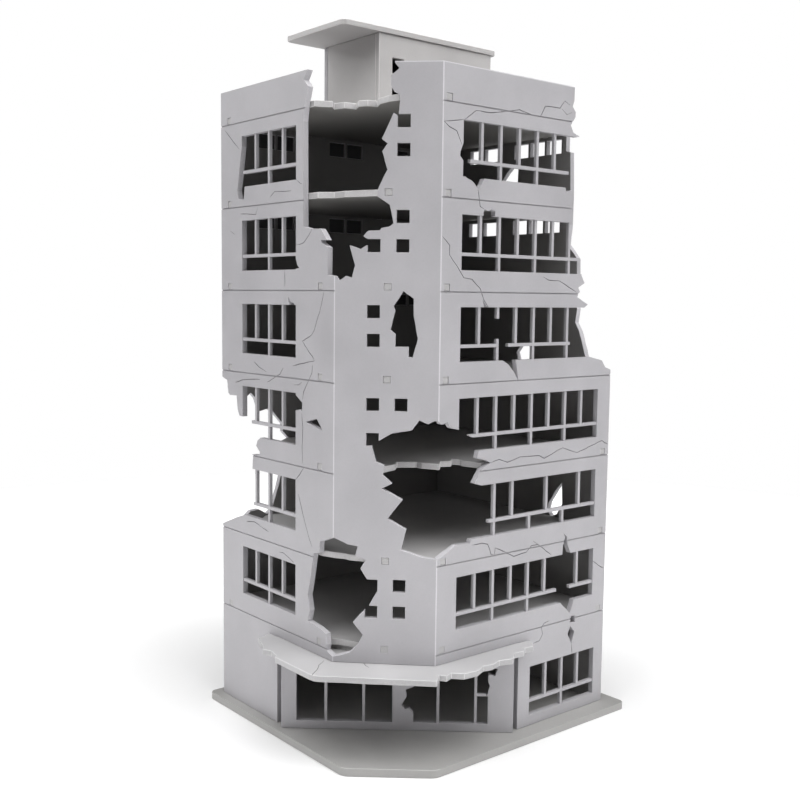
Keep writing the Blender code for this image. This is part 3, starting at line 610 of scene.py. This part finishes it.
LEFT_CRACKS = [
    [(50.5, 157), (48, 155), (45.5, 153), (43, 151.2)],
    [(28, 137.7), (26, 139), (18.5, 138.7)],
    [(16.3, 141.3), (15, 140.5), (13.7, 140)],
    [(42.5, 134.3), (38, 134), (35, 133.7), (34, 135.5)],
    [(48, 130), (45.5, 129)],
    [(16.3, 125.3), (13, 125.7), (11, 127.2), (9.3, 129)],
    [(21.4, 119.2), (21.2, 116.4), (21.3, 115)],
    [(4.3, 114), (5, 111.5), (6, 109), (7.3, 106.5), (8.2, 104.5), (9.5, 103.2), (13.3, 101.6),
     (12.5, 100.8), (9, 98), (8.2, 97), (17.5, 95.3)],
    [(8.9, 96), (9.2, 94), (10.8, 91.8), (12.8, 89), (13.5, 86.8)],
    [(36, 95.3), (33.5, 94), (30, 93)],
    [(29.5, 90.3), (26, 91.8), (23.5, 92.8), (22, 94.5)],
    [(45.5, 89.2), (41, 90.2), (33, 90.8)],
    [(17, 90.5), (15, 90.6), (13.5, 91.5)],
    [(13.6, 83.6), (13.1, 80), (13.4, 75), (13.2, 71)],
    [(12.7, 70), (14.5, 68), (16.3, 66.4)],
    [(15, 63), (12, 56), (10.5, 53), (9, 50.5)],
    [(40, 51.5), (36, 52.2), (33, 51.5), (29, 50.8)],
    [(23.8, 46.3), (22, 46.5), (18, 45.2), (17, 44.9)],
]

# Cracks in the canopy's top, as (x, y) points in plan
CANOPY_CRACKS = [
    [(-1.0, 20.0), (-4.0, 18.0), (-6.2, 15.6), (-9.6, 13.2)],
    [(5.6, 12.6), (4.9, 11.0), (4.6, 9.2)],
]


# Pieces ----------------------------------------------------------------------------------------

def mitred(item):
    """Side faces at the wall ends that are mitred, not broken."""
    return abs(item.normal.z) < UPRIGHT_FACE and item.calc_area() > WALL_END_AREA * MM * MM


def shaded_window_back(item):
    """Backs of the rear wall's high blind windows: small upright faces inside the wall's thickness,
    painted near-black as painted shade.
    """
    centre = item.calc_center_median()
    depth = (FAR_Y - centre.y) / MM
    return abs(item.normal.y) > FACING and PANE_INSET < depth < WALL_THICK - PANE_INSET


def unbroken(item):
    """The ends of a slab's tabs, and its straight edge along the cut corner."""
    if tab_direction(item.calc_center_median()):
        return True
    diagonal = abs(abs(item.normal.x) - abs(item.normal.y)) < DIAGONAL
    return diagonal and item.calc_area() > DIAGONAL_AREA * MM * MM


def whole(item):
    """Every side face: the piece has no broken edge."""
    return True


def build_pieces():
    """Make one finished piece for every CAD node."""
    slope = math.tan(math.radians(MITRE_TURN))
    corner_length = CORNER_CUT / HALF
    start = (JOINT_GAP, slope, -JOINT_SHIFT)
    stop = (corner_length - JOINT_GAP, -slope, JOINT_SHIFT)
    make_piece("wall_right", "wall_plastic", RIGHT, cracks=RIGHT_CRACKS, keep=mitred, seed=11,
               joints=[start], inside=RIGHT.inward)
    make_piece("wall_left", "wall_plastic", LEFT, cracks=LEFT_CRACKS, keep=mitred, seed=12,
               joints=[start], inside=LEFT.inward)
    make_piece("wall_corner", "wall_plastic", CORNER, keep=mitred, seed=13, joints=[start, stop],
               inside=CORNER.inward)
    side = Face(plan(0, 0, 0), (0, 1, 0), (0, 0, 1), (1, 0, 0))
    make_piece("wall_side", "wall_plastic", side, seed=14, inside=(-1, 0, 0))
    make_piece("wall_rear", "wall_plastic", RIGHT, seed=15, recess=shaded_window_back, inside=(0, -1, 0))
    shop_angle = math.atan2(SHOP_START_Y, SHOP_END_X)
    shop = Face(plan(0, SHOP_START_Y, 0), (math.cos(shop_angle), -math.sin(shop_angle), 0), (0, 0, 1),
                (math.sin(shop_angle), math.cos(shop_angle), 0))
    make_piece("shop_front", "wall_plastic", shop, seed=16)
    canopy_top = Face(plan(0, 0, CANOPY_TOP), (1, 0, 0), (0, 1, 0), (0, 0, -1))
    make_piece("canopy", "canopy_plastic", canopy_top, cracks=CANOPY_CRACKS, seed=17)
    make_piece("base_plate", "base_plastic", TOP, keep=whole, seed=18)
    for storey in range(1, UPPER_STOREYS + 1):
        make_piece("floor_%d" % storey, "floor_plastic", TOP, keep=unbroken, seed=20 + storey,
                   inside=(0, 0, -1))
    make_piece("roof_deck", "floor_plastic", TOP, keep=unbroken, seed=27, inside=(0, 0, -1))
    for name in ("front", "left", "right"):
        make_piece("stair_house_" + name, "stair_house_plastic", RIGHT, seed=30)
    make_piece("stair_house_roof", "stair_house_plastic", TOP, keep=whole, seed=34)


# Camera, light and floor -----------------------------------------------------------------------

# The camera's place in metres, and its turns in radians
CAMERA_POINT = (-0.185784, -0.218511, 0.11469)
CAMERA_AZIMUTH = 0.88
CAMERA_FALL = 0.097
CAMERA_ROLL = -0.011
CAMERA_LENS = 47.48

# Softboxes of the light tent: name, azimuth, elevation, size and power
LIGHT_DISTANCE = 0.9
MIDDLE = (0, 0, 0.09)
LIGHTS = [
    ("overhead_front_soft", -45, 65, 0.7, 3.9),
    ("left_soft", -105, 50, 0.7, 3.0),
    ("right_soft", 15, 50, 0.7, 4.2),
    ("side_soft", 35, 50, 0.7, 3.0),
    ("rear_left_soft", -150, 35, 0.6, 2.8),
    ("low_left_soft", -95, 12, 0.6, 1.0),
    ("low_right_soft", 10, 12, 0.6, 0.7),
]

# The white paper's radius, its drop below the base, the distances over which its glow comes
# in, all in metres, and the glow's strength
FLOOR_RADIUS = 0.4
FLOOR_DROP = 0.0001
GLOW_START = 0.04
GLOW_FULL = 0.14
GLOW = 0.35


def add_camera():
    """The camera, turned by its azimuth, its fall below the level and its roll."""
    ahead = Vector((math.cos(CAMERA_AZIMUTH) * math.cos(CAMERA_FALL),
                    math.sin(CAMERA_AZIMUTH) * math.cos(CAMERA_FALL), -math.sin(CAMERA_FALL)))
    side = Vector((math.sin(CAMERA_AZIMUTH), -math.cos(CAMERA_AZIMUTH), 0))
    down = ahead.cross(side)
    turned_side = side * math.cos(CAMERA_ROLL) + down * math.sin(CAMERA_ROLL)
    turned_down = down * math.cos(CAMERA_ROLL) - side * math.sin(CAMERA_ROLL)
    data = bpy.data.cameras.new("camera")
    data.lens = CAMERA_LENS
    data.sensor_width = 36
    data.clip_start = 0.01
    data.clip_end = 20
    camera = bpy.data.objects.new("camera", data)
    turn = Matrix((turned_side, -turned_down, -ahead)).transposed()
    camera.matrix_world = Matrix.Translation(CAMERA_POINT) @ turn.to_4x4()
    bpy.context.scene.collection.objects.link(camera)
    bpy.context.scene.camera = camera


def add_area(name, place, target, size, power):
    """A square softbox that faces the target."""
    data = bpy.data.lights.new(name, "AREA")
    data.shape = "SQUARE"
    data.size = size
    data.energy = power
    light = bpy.data.objects.new(name, data)
    light.location = place
    aim = Vector(target) - Vector(place)
    light.rotation_mode = "QUATERNION"
    light.rotation_quaternion = aim.to_track_quat("-Z", "Y")
    bpy.context.scene.collection.objects.link(light)


def around(azimuth, elevation, distance):
    """A place round the object: azimuth 0 is towards -Y and 90 towards +X."""
    a = math.radians(azimuth)
    e = math.radians(elevation)
    return (distance * math.sin(a) * math.cos(e), -distance * math.cos(a) * math.cos(e),
            distance * math.sin(e) + MIDDLE[2])


def add_lights():
    """Set up every softbox."""
    for name, azimuth, elevation, size, power in LIGHTS:
        add_area(name, around(azimuth, elevation, LIGHT_DISTANCE), MIDDLE, size, power)


def add_world():
    """White to the camera, and dark to everything else."""
    world = bpy.data.worlds.new("studio")
    world.use_nodes = True
    tree = world.node_tree
    tree.nodes.clear()
    output = tree.nodes.new("ShaderNodeOutputWorld")
    path = tree.nodes.new("ShaderNodeLightPath")
    seen = add_node(tree, "ShaderNodeBackground", Color=(1, 1, 1, 1))
    tree.links.new(path.outputs["Is Camera Ray"], seen.inputs["Strength"])
    tree.links.new(seen.outputs[0], output.inputs["Surface"])
    bpy.context.scene.world = world


def add_floor():
    """White paper that glows more away from the object: painted light that lifts the object's shadow
    and whitens the paper.
    """
    bm = bmesh.new()
    bmesh.ops.create_circle(bm, cap_ends=True, segments=96, radius=FLOOR_RADIUS)
    mesh = bpy.data.meshes.new("studio_floor")
    bm.to_mesh(mesh)
    bm.free()
    floor = bpy.data.objects.new("studio_floor", mesh)
    floor.location = (0, 0, cad_box[0].z - FLOOR_DROP)
    material = bpy.data.materials.new("studio_paper")
    material.use_nodes = True
    tree = material.node_tree
    shader = tree.nodes["Principled BSDF"]
    shader.inputs["Base Color"].default_value = (0.9, 0.9, 0.9, 1)
    shader.inputs["Roughness"].default_value = 0.9
    shader.inputs["Emission Color"].default_value = (1, 1, 1, 1)
    place = add_node(tree, "ShaderNodeTexCoord")
    distance = add_node(tree, "ShaderNodeVectorMath", attr_operation="LENGTH")
    glow = add_node(tree, "ShaderNodeMapRange", From_Min=GLOW_START, From_Max=GLOW_FULL, To_Min=0.0,
                    To_Max=GLOW)
    tree.links.new(place.outputs["Object"], distance.inputs[0])
    tree.links.new(distance.outputs["Value"], glow.inputs["Value"])
    tree.links.new(glow.outputs["Result"], shader.inputs["Emission Strength"])
    mesh.materials.append(material)
    bpy.context.scene.collection.objects.link(floor)


bpy.context.scene.view_settings.view_transform = "Standard"
add_camera()
build_pieces()
add_lights()
add_world()
add_floor()
